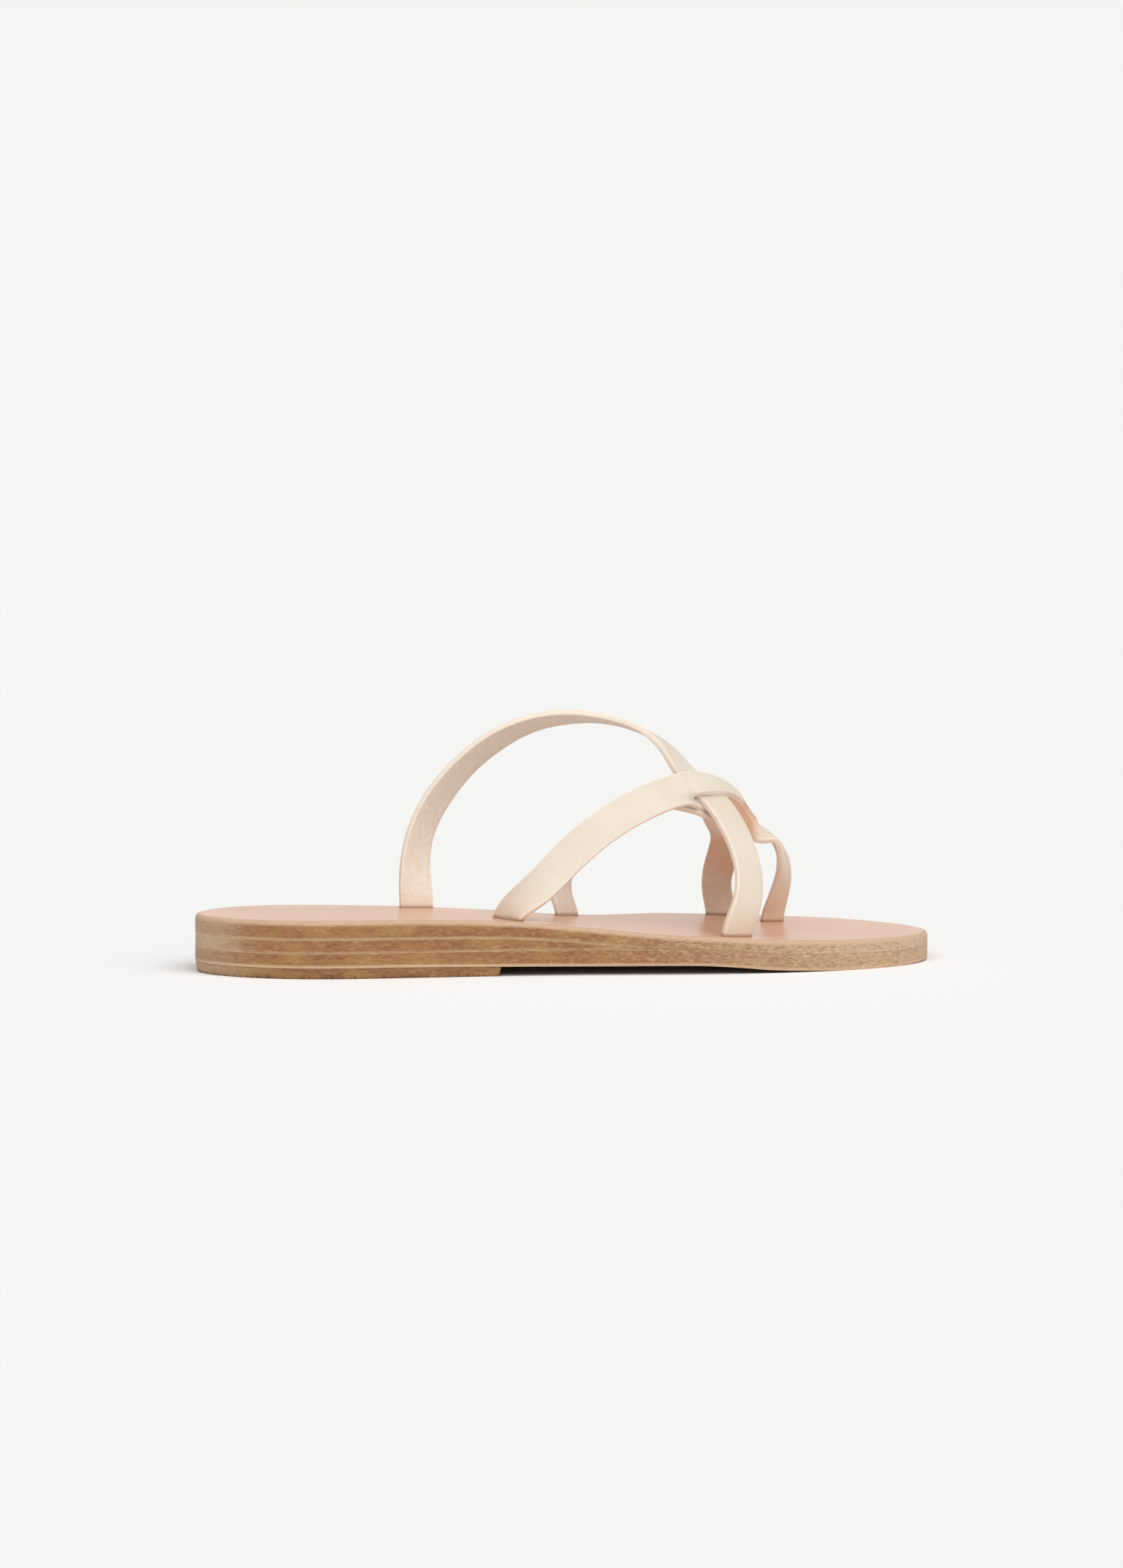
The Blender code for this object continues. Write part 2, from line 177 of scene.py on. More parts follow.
stackLook = {
    "fibre": "#7F5333", "leather": "#A8744A", "liftFibre": "#7A5032", "liftLeather": "#9C7048",
    "golden": "#A8804C", "pale": "#D6BCA0", "pit": "#80592F", "fleck": "#D8B888", "joint": "#DABE98",
    # The rim colour is a pale arris, partly painted as highlight; the dark colour after it darkens the lift's
    # bottom arris and paints its nick shadows.
    "rim": "#CDAC8F", "bottomDark": "#3E281B", "roughness": 0.62, "specular": 0.35,
    "squeeze": 0.28,  # draws the patterns out along the edge
    "fibreMm": 0.75, "fibreDeepMm": 0.25, "patchMm": 3.5, "speckMm": 0.55,
}


def stackEdge(name, fibre, leather):
    # Sanded edge of stacked sole leather: short fibres along the edge, pale specks, a pale line at each
    # joint, a painted highlight at the heel's back and toward the toe, a pale rim that is partly painted
    # highlight, and a darker lower arris with painted nick shadows. The coats are mixed over each other where
    # the layer's painted marks and its patterns allow.
    made, tree, shader = startMaterial(name, stackLook["roughness"], stackLook["specular"])
    place = addNode(tree, "ShaderNodeTexCoord").outputs["Object"]
    along = addNode(tree, "ShaderNodeMapping",
                    values={"Scale": (stackLook["squeeze"], stackLook["squeeze"], 1.0)},
                    links={"Vector": place}).outputs["Vector"]
    fibres = addNode(tree, "ShaderNodeTexNoise",
                     values={"Scale": perMm(stackLook["fibreMm"]), "Detail": 5.0, "Roughness": 0.75},
                     links={"Vector": along})
    patches = addNode(tree, "ShaderNodeTexNoise",
                      values={"Scale": perMm(stackLook["patchMm"]), "Detail": 3.0},
                      links={"Vector": along})
    specks = addNode(tree, "ShaderNodeTexNoise",
                     values={"Scale": perMm(stackLook["speckMm"]), "Detail": 3.0, "Roughness": 0.7},
                     links={"Vector": along})
    streaked = addNode(tree, "ShaderNodeValToRGB", links={"Fac": fibres.outputs["Fac"]},
                       ramp=((0.34, fibre), (0.62, leather)))
    patchShare = addNode(tree, "ShaderNodeValToRGB", links={"Fac": patches.outputs["Fac"]},
                         ramp=((0.45, 0.0), (0.62, 0.7)))
    colour = addNode(tree, "ShaderNodeMix", {"data_type": "RGBA"}, {7: stackLook["golden"]},
                     {0: patchShare.outputs["Color"], 6: streaked.outputs["Color"]}).outputs[2]
    fibreBreakup = addNode(tree, "ShaderNodeMath", {"operation": "ADD"}, {1: 0.4}, {0: fibres.outputs["Fac"]})
    paleSpecks = addNode(tree, "ShaderNodeValToRGB", links={"Fac": specks.outputs["Fac"]},
                         ramp=((0.56, 0.0), (0.76, 0.4)))
    pits = addNode(tree, "ShaderNodeValToRGB", links={"Fac": specks.outputs["Fac"]},
                   ramp=((0.34, 0.6), (0.5, 0.0)))
    flecks = addNode(tree, "ShaderNodeValToRGB", links={"Fac": specks.outputs["Fac"]},
                     ramp=((0.52, 0.0), (0.7, 0.45)))
    coats = [(None, paleSpecks, "pale"), ("painted_highlight", fibreBreakup, "pale"), ("raw", pits, "pit"),
             ("raw", flecks, "fleck"), ("joint", fibreBreakup, "joint"), ("rim", fibreBreakup, "rim"), ("bottomDark", fibreBreakup, "bottomDark")]
    for mark, pattern, tint in coats:
        share = pattern.outputs[0]
        if mark:
            painted = addNode(tree, "ShaderNodeAttribute", {"attribute_name": mark})
            share = addNode(tree, "ShaderNodeMath", {"operation": "MULTIPLY", "use_clamp": True},
                            links={0: painted.outputs["Fac"], 1: share}).outputs["Value"]
        colour = addNode(tree, "ShaderNodeMix", {"data_type": "RGBA"}, {7: stackLook[tint]},
                         {0: share, 6: colour}).outputs[2]
    tree.links.new(colour, shader.inputs["Base Color"])
    rough = addNode(tree, "ShaderNodeBump",
                    values={"Strength": 0.5, "Distance": stackLook["fibreDeepMm"] * mm},
                    links={"Height": fibres.outputs["Fac"]})
    tree.links.new(rough.outputs["Normal"], shader.inputs["Normal"])
    return made


underLook = {
    "dark": "#6E4C2C", "light": "#8C6540", "roughness": 0.55, "specular": 0.35,
    "blotchMm": 12.0, "gritMm": 1.1, "gritDeepMm": 0.2,
}


def soleUnder():
    # Underside of the sole leather, rolled hard: brown, dull, a little blotchy, and dark enough to act as
    # painted shade in the gap under the arch.
    made, tree, shader = startMaterial("brown_leather_rolled_underside", underLook["roughness"],
                                       underLook["specular"])
    place = addNode(tree, "ShaderNodeTexCoord").outputs["Object"]
    blotch = addNode(tree, "ShaderNodeTexNoise",
                     values={"Scale": perMm(underLook["blotchMm"]), "Detail": 5.0},
                     links={"Vector": place})
    colour = addNode(tree, "ShaderNodeValToRGB", links={"Fac": blotch.outputs["Fac"]},
                     ramp=((0.3, underLook["dark"]), (0.75, underLook["light"])))
    tree.links.new(colour.outputs["Color"], shader.inputs["Base Color"])
    grit = addNode(tree, "ShaderNodeTexNoise", values={"Scale": perMm(underLook["gritMm"]), "Detail": 4.0},
                   links={"Vector": place})
    rough = addNode(tree, "ShaderNodeBump",
                    values={"Strength": 0.3, "Distance": underLook["gritDeepMm"] * mm},
                    links={"Height": grit.outputs["Fac"]})
    tree.links.new(rough.outputs["Normal"], shader.inputs["Normal"])
    return made


stackMaterial = stackEdge("brown_leather_sanded_edge", stackLook["fibre"], stackLook["leather"])
liftMaterial = stackEdge("red_brown_leather_sanded_lift", stackLook["liftFibre"], stackLook["liftLeather"])
underMaterial = soleUnder()
faceMaterial = insoleFace()
strapMaterials = [strapGrain(), strapFlesh(), strapEdge()]
grainSide, fleshSide, cutEdge = range(3)  # places in strapMaterials
print("materials ready")


# Curves and meshes

def easeStep(value):
    # From 0 to 1 with level ends, and held beyond them.
    value = np.clip(value, 0.0, 1.0)
    return value * value * (3.0 - 2.0 * value)


def easeBetween(x, start, end):
    return easeStep((x - start) / (end - start))


def splineThrough(points, closed=False):
    # Cubic spline by distance along its points: straight at open ends, or smooth all round.
    points = np.array(points, dtype=float)
    if closed:
        points = np.vstack([points, points[:1]])
    steps = np.linalg.norm(np.diff(points[:, :2 if closed else 3], axis=0), axis=1)
    knots = np.concatenate([[0.0], np.cumsum(steps)])
    count = len(points)
    system = np.zeros((count, count))
    target = np.zeros_like(points)
    for i in range(1, count - 1):
        system[i, i - 1:i + 2] = steps[i - 1], 2.0 * (steps[i - 1] + steps[i]), steps[i]
        slopeAhead = (points[i + 1] - points[i]) / steps[i]
        target[i] = 6.0 * (slopeAhead - (points[i] - points[i - 1]) / steps[i - 1])
    if closed:
        system[0, [0, -1]] = 1.0, -1.0
        system[-1, [0, 1]] = 2.0 * steps[0], steps[0]
        system[-1, [-2, -1]] = steps[-1], 2.0 * steps[-1]
        target[-1] = 6.0 * ((points[1] - points[0]) / steps[0] - (points[-1] - points[-2]) / steps[-1])
    else:
        system[0, 0] = system[-1, -1] = 1.0
    bends = np.linalg.solve(system, target)

    def at(distance):
        distance = np.asarray(distance, dtype=float)
        k = np.clip(np.searchsorted(knots, distance, side="right") - 1, 0, count - 2)
        step = steps[k][:, None]
        b = (distance - knots[k])[:, None] / step
        a = 1.0 - b
        return (a * points[k] + b * points[k + 1]
                + ((a ** 3 - a) * bends[k] + (b ** 3 - b) * bends[k + 1]) * step ** 2 / 6.0)

    return at, knots[-1]


def addPiece(name, vertices, faces, materials, faceKinds, smoothAngle, marks):
    mesh = bpy.data.meshes.new(name)
    placed = (np.array(vertices, dtype=float) - centre) * mm
    mesh.from_pydata(placed.tolist(), [], faces)
    for finish in materials:
        mesh.materials.append(finish)
    mesh.polygons.foreach_set("material_index", faceKinds)
    for mark, values in marks.items():
        layer = mesh.attributes.new(mark, "FLOAT", "POINT")
        layer.data.foreach_set("value", np.array(values, dtype=np.float32))
    work = bmesh.new()
    work.from_mesh(mesh)
    bmesh.ops.recalc_face_normals(work, faces=work.faces)
    work.to_mesh(mesh)
    work.free()
    mesh.shade_smooth()
    mesh.set_sharp_from_angle(angle=math.radians(smoothAngle))
    piece = bpy.data.objects.new(name, mesh)
    bpy.context.scene.collection.objects.link(piece)
    return piece


# Sole, in millimetres from the back of the heel (x) and across from its middle line (y, inner side positive)

soleShape = {
    "outline": (
        (0.0, 2.0), (8.0, 19.5), (28.0, 27.5), (60.0, 20.5), (94.0, 12.0), (126.0, 14.5), (153.0, 34.0),
        (180.0, 45.5), (205.0, 44.5), (226.0, 35.0), (241.0, 19.5), (248.0, 2.0), (244.0, -16.0),
        (230.0, -29.5), (205.0, -38.5), (166.0, -40.5), (131.0, -35.5), (95.0, -31.5), (61.0, -30.0),
        (30.0, -26.5), (9.0, -14.5),
    ),
    "columns": ("x", "groundGap", "outsole", "wedge", "insole"),
    "profile": (
        (0.0, 3.5, 5.0, 4.4, 5.8), (62.0, 3.5, 5.0, 4.4, 5.8), (88.0, 3.25, 5.25, 4.15, 5.35),
        (106.0, 3.1, 5.45, 3.55, 4.85), (120.0, 3.0, 5.5, 2.5, 4.6), (134.0, 2.95, 5.5, 1.3, 4.45),
        (150.0, 2.95, 5.4, 0.1, 4.25), (162.0, 2.8, 5.2, 0.0, 4.0), (173.0, 2.1, 5.2, 0.0, 4.0),
        (184.0, 1.05, 5.2, 0.0, 4.4), (195.0, 0.5, 5.2, 0.0, 4.5), (212.0, 0.0, 5.2, 0.0, 4.4),
        (230.0, 0.0, 5.05, 0.0, 4.3), (248.5, 0.6, 4.6, 0.0, 3.9),
    ),
    "layerGap": 0.3, "liftFront": 95.0, "squareFrontTurn": 0.62, "wedgeThinEnd": 0.12,
    "seam": 0.02,  # half of the hairline left between two layers
    "rungs": 230, "columnsAcross": 14, "outlineSteps": 3000, "endSteps": 1000, "smoothAngle": 40.0,
    "jointLine": 0.5,
    "wallShare": 0.45,  # the most of a thin wall that an arris and its joint line may take
    # Paint along the sole: where it starts to change, where that ends, and by how much.
    # The first two entries are painted highlight on the raw edge; the rest are the leather's own marks.
    "heelHighlight": (0.0, 20.0, 0.5), "toeHighlight": (110.0, 240.0, 0.85), "rawWaist": (70.0, 150.0, 1.0),
    "smoothTip": (225.0, 246.0, 0.7), "jointFade": (95.0, 180.0, 0.8),
}


def soleEdges():
    at, length = splineThrough(soleShape["outline"], closed=True)
    ring = at(np.linspace(0.0, length, soleShape["outlineSteps"], endpoint=False))
    ring = np.roll(ring, -int(np.argmin(ring[:, 0])), axis=0)
    toe = int(np.argmax(ring[:, 0]))
    return ring[:toe + 1], np.vstack([ring[toe:], ring[:1]])[::-1]


innerEdge, outerEdge = soleEdges()
heelEnd, toeEnd = innerEdge[0], innerEdge[-1]
middleAcross = (innerEdge[:, 1].max() + outerEdge[:, 1].min()) / 2.0
centre = np.array([(heelEnd[0] + toeEnd[0]) / 2.0, middleAcross, 0.0])


def profileAt(x, column):
    # Smooth curve through the profile's rows, level between two rows that are equal.
    table = np.array(soleShape["profile"])
    rows, values = table[:, 0], table[:, soleShape["columns"].index(column)]
    slopes = np.gradient(values, rows)
    x = np.clip(x, rows[0], rows[-1])
    k = np.clip(np.searchsorted(rows, x, side="right") - 1, 0, len(rows) - 2)
    step = rows[k + 1] - rows[k]
    b = (x - rows[k]) / step
    flat = values[k] == values[k + 1]
    start, end = np.where(flat, 0.0, slopes[k]), np.where(flat, 0.0, slopes[k + 1])
    return (values[k] + (values[k + 1] - values[k]) * easeStep(b)
            + step * b * (1.0 - b) * (start * (1.0 - b) - end * b))


def outsoleBottom(x):
    return profileAt(x, "groundGap")


def outsoleTop(x):
    return outsoleBottom(x) + profileAt(x, "outsole")


def wedgeRoom(x):
    return np.maximum(profileAt(x, "wedge"), 0.0)


def insoleBottom(x):
    return outsoleTop(x) + soleShape["layerGap"] + wedgeRoom(x)


def insoleTop(x):
    return insoleBottom(x) + profileAt(x, "insole")


def wedgeEnd():
    # The wedge is cut off where it gets this thin.
    reach = np.linspace(soleShape["liftFront"], toeEnd[0], soleShape["endSteps"])
    return float(reach[np.argmax(wedgeRoom(reach) < soleShape["wedgeThinEnd"])])


def planRing(inset, xEnd=None):
    # Once round a layer: inner side from heel to toe, outer side back. A layer with xEnd is cut square there.
    last = toeEnd[0] if xEnd is None else xEnd
    rungs = soleShape["rungs"]
    turn = np.linspace(0.0, math.pi * (1.0 if xEnd is None else soleShape["squareFrontTurn"]), rungs)
    x = heelEnd[0] + (last - heelEnd[0]) * (1.0 - np.cos(turn)) / (1.0 - math.cos(turn[-1]))
    inner = np.interp(x, innerEdge[:, 0], innerEdge[:, 1])
    outer = np.interp(x, outerEdge[:, 0], outerEdge[:, 1])
    stop = rungs - 2 if xEnd is None else rungs - 1
    ring = [(x[i], inner[i]) for i in range(rungs)] + [(x[i], outer[i]) for i in range(stop, 0, -1)]
    ring = np.array(ring)
    along = np.roll(ring, -1, axis=0) - np.roll(ring, 1, axis=0)
    along /= np.linalg.norm(along, axis=1)[:, None]
    return ring + np.stack([along[:, 1], -along[:, 0]], axis=1) * inset


def capGrid(vertices, faces, ring, start, xEnd, height):
    # Quads across from the inner to the outer edge, in columns, with fans at the closed ends.
    count = len(ring)
    columns = soleShape["columnsAcross"]
    rows = []
    near, far = 1, count - 1
    while far > near:
        a, b = ring[near], ring[far]
        line = [start + near]
        for j in range(1, columns):
            share = 0.5 - 0.5 * math.cos(math.pi * j / columns)
            x, y = a + (b - a) * share
            line.append(len(vertices))
            vertices.append((x, y, float(height(x))))
        line.append(start + far)
        rows.append(line)
        near, far = near + 1, far - 1
    for low, high in zip(rows[:-1], rows[1:]):
        for j in range(columns):
            faces.append((low[j], low[j + 1], high[j + 1], high[j]))
    for j in range(columns):
        faces.append((start, rows[0][j + 1], rows[0][j]))
        if xEnd is None:
            faces.append((start + count // 2, rows[-1][j], rows[-1][j + 1]))


def paintAlong(x, paint):
    start, end, strength = soleShape[paint]
    return strength * easeBetween(x, start, end)


def highlightAt(x):
    # Painted highlight: the raw edge is painted paler at the back of the heel and from the ball to the toe,
    # where the room's light glances off it.
    heelShare = soleShape["heelHighlight"][-1]
    return heelShare - paintAlong(x, "heelHighlight") + paintAlong(x, "toeHighlight")


def rawAt(x):
    # Fibres stand open from the waist to the toe and are smoothed down at its tip.
    return paintAlong(x, "rawWaist") * (1.0 - paintAlong(x, "smoothTip"))


def addLayer(name, levels, materials, highlightShare, xEnd=None):
    # A level is (inset, height at x, joint line, rim, darkening of the bottom arris with painted nick
    # shadows). The wall takes material 0, the caps 1 and 2.
    vertices, faces, rings = [], [], []
    marks = {"painted_highlight": [], "raw": [], "joint": [], "rim": [], "bottomDark": []}
    count = len(planRing(0.0, xEnd))
    for inset, height, joint, rim, bottomDark in levels:
        ring = planRing(inset, xEnd)
        rings.append(ring)
        vertices += [(x, y, float(height(x))) for x, y in ring]
        lengthwise = ring[:, 0]
        # Marks per vertex: painted highlight, open fibres, joint line, pale rim, darker bottom arris.
        painted = {
            "painted_highlight": highlightShare * highlightAt(lengthwise), "raw": rawAt(lengthwise),
            "joint": joint * (1.0 - paintAlong(lengthwise, "jointFade")), "rim": rim, "bottomDark": bottomDark,
        }
        for mark, values in painted.items():
            marks[mark] += list(np.broadcast_to(values, count))
    for level in range(len(levels) - 1):
        low, high = level * count, (level + 1) * count
        for i in range(count):
            j = (i + 1) % count
            faces.append((low + i, low + j, high + j, high + i))
    walls = len(faces)
    capGrid(vertices, faces, rings[0], 0, xEnd, levels[0][1])
    unders = len(faces)
    capGrid(vertices, faces, rings[-1], (len(levels) - 1) * count, xEnd, levels[-1][1])
    for values in marks.values():
        values += [0.0] * (len(vertices) - len(values))
    kinds = [0] * walls + [1] * (unders - walls) + [2] * (len(faces) - unders)
    return addPiece(name, vertices, faces, materials, kinds, soleShape["smoothAngle"], marks)


def wallLevels(bottom, top, shape):
    # Rings up a layer's wall: its lower arris, the joint line, plain leather, the upper arris.
    def rise(distance):
        return lambda x: bottom(x) + np.minimum(distance, soleShape["wallShare"] * (top(x) - bottom(x)))

    def fall(distance):
        return lambda x: top(x) - np.minimum(distance, soleShape["wallShare"] * (top(x) - bottom(x)))

    inset, line = shape["inset"], soleShape["jointLine"]
    lowRound, highRound = shape["lowRound"], shape["highRound"]
    lowBand = lowRound + shape["lowBand"]
    lowMarks = (shape["lowJoint"], shape["lowRim"], 0.0)
    highMarks = (shape["highJoint"], shape["highRim"], 0.0)
    plain = (0.0, 0.0, 0.0)
    return [
        (inset + lowRound, bottom, *lowMarks),
        (inset + 0.3 * lowRound, rise(0.3 * lowRound), *lowMarks),  # about a quarter circle
        (inset, rise(lowBand), *lowMarks),
        (inset, rise(lowBand + line), *plain),
        (inset, lambda x: 0.5 * (bottom(x) + top(x)), *plain),
        (inset, fall(highRound + line), *plain),
        (inset, fall(highRound), shape["highJoint"], 0.6 * shape["highRim"], 0.0),
        (inset + 0.1 * highRound, fall(0.55 * highRound), *highMarks),  # about a quarter circle
        (inset + 0.42 * highRound, fall(0.16 * highRound), *highMarks),
        (inset + highRound, top, *highMarks),
    ]


liftShape = {
    # Inset, height, even darkening and painted nick shadows, up from the ground; then inset and depth below
    # the outsole.
    "rings": ((0.9, 0.0, 1.0, 0.0), (0.7, 0.3, 0.0, 1.0), (0.6, 0.8, 0.0, 0.4), (0.4, 1.6, 0.0, 0.0)),
    "topRings": ((0.2, 0.4), (0.1, 0.05)), "nickSeed": 5, "highlightShare": 1.0,
}
# Walls of the other layers: inset, rounded arrises and pale band in mm, then the strength of each paint; the
# last entry scales the painted highlight on the raw edge.
outsoleShape = {
    "inset": 0.0, "lowRound": 0.2, "highRound": 0.1, "lowBand": 0.5, "lowJoint": 0.6, "highJoint": 0.5,
    "lowRim": 0.7, "highRim": 0.0, "highlightShare": 0.75,
}
wedgeShape = {
    "inset": 0.05, "lowRound": 0.08, "highRound": 0.08, "lowBand": 0.0, "lowJoint": 0.5, "highJoint": 0.65,
    "lowRim": 0.0, "highRim": 0.0, "highlightShare": 1.4,
}
# The insole's upper arris takes the pale rim: partly the face leather's colour turned over the edge, partly a
# painted highlight.
insoleShape = {
    "inset": 0.0, "lowRound": 0.1, "highRound": 1.4, "lowBand": 0.0, "lowJoint": 0.65, "highJoint": 0.0,
    "lowRim": 0.0, "highRim": 1.0, "highlightShare": 1.0,
}
# A layer reaches this far into the gap beside it, so that two layers meet in a hairline.
hairline = soleShape["layerGap"] / 2.0 - soleShape["seam"]


def liftLevels():
    # The lower arris is darker all round, with painted shadows of nicks at random that run a little way up
    # the wall.
    nickShadows = np.random.default_rng(liftShape["nickSeed"]).random(2 * soleShape["rungs"] - 1) ** 2
    levels = []
    for inset, height, evenDark, nickShadow in liftShape["rings"]:
        levels.append((inset, lambda x, z=height: z, 0.0, 0.0, evenDark + nickShadow * nickShadows))
    for inset, depth in liftShape["topRings"]:
        levels.append((inset, lambda x, below=depth: outsoleBottom(x) - below, 0.0, 0.0, 0.0))
    return levels


def outsoleSeam(x):
    return outsoleTop(x) + hairline


def wedgeFloor(x):
    return outsoleTop(x) + soleShape["layerGap"] - hairline


def wedgeSeam(x):
    return insoleSeam(x) - 2.0 * soleShape["seam"]


def insoleSeam(x):
    return insoleBottom(x) - hairline


stackFaces = [stackMaterial, underMaterial, underMaterial]
lift = addLayer("heel_lift_leather", liftLevels(), [liftMaterial, underMaterial, underMaterial],
                liftShape["highlightShare"], soleShape["liftFront"])
outsole = addLayer("outsole_leather", wallLevels(outsoleBottom, outsoleSeam, outsoleShape), stackFaces,
                   outsoleShape["highlightShare"])
wedge = addLayer("wedge_leather", wallLevels(wedgeFloor, wedgeSeam, wedgeShape), stackFaces,
                 wedgeShape["highlightShare"], wedgeEnd())
insole = addLayer("insole_leather", wallLevels(insoleSeam, insoleTop, insoleShape),
                  [stackMaterial, underMaterial, faceMaterial], insoleShape["highlightShare"])
print("sole layers built")


# Straps: middle line, the way the outer face looks (turn from +X, tilt above level, degrees) and width

strapColumns = ("x", "y", "z", "turn", "tilt", "width")  # no z: on the insole's face
instepStrap = {
    "rows": (
        (75.6, 10.8, None, 92, 0, 11.2), (76.4, 16.0, 33.6, 112, 2, 11.5),
        (79.7, 19.2, 45.4, 123, 3, 11.5), (85.9, 20.0, 56.0, 125, 8, 11.5),
        (93.3, 19.5, 64.8, 127, 17, 11.5), (104.5, 18.0, 73.8, 126, 30, 11.5),
        (116.5, 15.5, 79.5, 123, 49, 11.5), (129.0, 12.5, 81.5, 95, 69, 11.5),
        (141.0, 9.5, 80.6, 40, 76, 11.5), (151.5, 6.5, 77.0, -5, 57, 11.5),
        (159.6, 3.5, 70.6, -30, 53, 11.5), (165.0, 0.5, 63.2, -47, 50, 11.5),
        (172.4, -3.6, 55.8, -58, 44, 11.5), (178.5, -10.6, 45.8, -60, 34, 11.5),
        (180.7, -18.5, 36.5, -63, 20, 11.3), (179.9, -26.8, 27.3, -67, 10, 11.2),
        (176.7, -32.0, 19.0, -69, 2, 11.2), (174.0, -33.0, None, -70, 0, 11.2),
    ),
    # Painted warm shade near both ends, where the strap meets the insole: share of length, strength.
    "warm_tint_and_shade": ((0.0, 0.1), (0.05, 0.0), (0.88, 0.0), (0.94, 0.12), (1.0, 0.35)),  # share of length, tint
    "creases": (),
}
toeStrap = {
    "rows": (
        (99.4, -22.0, None, -140, 26, 11.8), (107.0, -22.5, 26.0, -125, 22, 11.6),
        (118.6, -21.5, 36.6, -112, 14, 11.5), (128.1, -20.5, 44.6, -104, 14, 11.5),
        (138.3, -18.0, 50.8, -98, 18, 11.5), (150.2, -14.0, 55.7, -94, 25, 11.5),
        (160.5, -9.2, 58.0, -86, 34, 11.5), (171.8, -3.5, 57.2, -68, 44, 11.8),
        (182.8, 2.0, 51.9, -48, 50, 12.0), (190.5, 7.0, 44.0, -18, 52, 11.0),
        (196.8, 11.5, 40.8, -8, 48, 9.8), (202.2, 15.5, 34.0, -32, 24, 9.6),
        (204.0, 18.5, 26.0, -48, 8, 8.9), (202.7, 20.5, 17.9, -58, 0, 8.7),
        (201.3, 22.0, None, -71, 0, 8.6),
    ),
    # Painted warm shade at both ends, strongest at the toe post's base, which lies in shadow.
    "warm_tint_and_shade": ((0.0, 0.35), (0.06, 0.15), (0.12, 0.0), (0.76, 0.0), (0.86, 0.15), (1.0, 0.6)),
    "creases": ((163.6, 0.35, 0.9), (199.6, 0.4, 1.0)),  # x, depth and half width of a trough
}
archStrap = {
    "rows": (
        (126.6, 9.0, None, 128, 0, 10.4), (125.2, 13.0, 23.6, 122, 8, 10.4),
        (127.0, 15.0, 31.6, 116, 18, 10.4), (134.2, 15.0, 40.2, 108, 30, 10.4),
        (142.6, 12.5, 47.0, 95, 45, 10.4), (152.0, 8.0, 51.4, 60, 62, 10.8),
        (161.0, 2.5, 53.0, -50, 68, 11.0), (169.0, -2.5, 53.3, -72, 46, 11.0),
        (176.4, 5.5, 45.6, -10, 48, 10.8), (184.0, 19.5, 38.6, 42, 38, 10.4),
        (185.6, 32.0, 29.4, 64, 22, 10.4), (186.4, 39.0, 20.3, 74, 8, 10.2),
        (188.5, 41.5, None, 74, 0, 10.2),
    ),
    # Painted warm shade on the front leg where it lies in the hub's shadow.
    "warm_tint_and_shade": ((0.0, 0.05), (0.06, 0.0), (0.6, 0.0), (0.72, 0.5), (0.82, 0.4), (0.88, 0.0)),
    "creases": (),
}
strapShape = {
    "thickness": 2.0, "edgeRound": 0.45, "crown": 0.25, "spacing": 0.8, "endShort": 0.9, "smoothAngle": 55.0,
    # The last two entries below set the height and strength of the painted dark shade where a strap enters
    # its slot.
    "slotGap": 0.3, "slotDeep": 2.0, "slotShadeHeight": 1.4, "slotShadeShare": 0.8,
    # Painted shade where the slit ends, for the shadowed recess under the upper lip: span and eases along it
    # and tint, on the upper lip and on the lower one.
    "upperShadePatch": (((183.0, 191.5), (1.6, 1.6)), 0.65), "lowerShadePatch": (((177.5, 191.0), (2.0, 3.0)), 0.85),
    # Strength of the extra painted dark shade in the recess on the lower lip.
    "patchDeepShade": 0.4,
    "slit": ((164.5, -3.4), (172.0, -2.2), (180.0, 0.0), (186.0, 1.2), (189.0, 0.2), (190.8, -2.4)),
    "upperLip": ((156.0, 191.2), (9.0, 2.4)), "lowerLip": ((160.0, 198.0), (9.0, 9.0)),  # span, eases
    "lowerLipTurn": (175.0, 181.0), "lipRise": 1.7, "lipDrop": 2.8,
}


def facing(turn, tilt):
    turn, tilt = math.radians(turn), math.radians(tilt)
    return math.cos(tilt) * math.cos(turn), math.cos(tilt) * math.sin(turn), math.sin(tilt)


def strapStations(rows, extend=0.0):
    # Middle line, outward and across directions and width along a strap, with its ends down in their slots.
    table = [dict(zip(strapColumns, row)) for row in rows]
    points = []
    for row in table:
        height = insoleTop(row["x"]) if row["z"] is None else row["z"]
        points.append((row["x"], row["y"], float(height), *facing(row["turn"], row["tilt"]), row["width"]))
    for end, place in ((0, 0), (-1, len(points) + 1)):
        x, y = points[end][:2]
        depth = float(insoleBottom(x)) + strapShape["endShort"]
        points.insert(place, (x, y, depth, *facing(table[end]["turn"], 0.0), table[end]["width"]))
    at, length = splineThrough(points)
    samples = at(np.linspace(0.0, length, int(round(length / strapShape["spacing"])) + 1))
    middle = samples[:, :3]
    along = np.gradient(middle, axis=0)
    along[0], along[-1] = (0.0, 0.0, 1.0), (0.0, 0.0, -1.0)
    along /= np.linalg.norm(along, axis=1)[:, None]
    outward = samples[:, 3:6]
    outward = outward - np.sum(outward * along, axis=1)[:, None] * along
    outward /= np.linalg.norm(outward, axis=1)[:, None]
    for end, nextIn in ((0, 1), (-1, -2)):
        step = middle[end] - middle[nextIn]
        middle[end] += step * (extend / np.linalg.norm(step))
    return middle, outward, np.cross(outward, along), samples[:, 6]


def plateau(x, lip):
    # Up from 0 to 1 at the start of the span and down again at its end.
    (start, end), (easeIn, easeOut) = lip
    return float(easeStep((x - start) / easeIn) * easeStep((end - x) / easeOut))


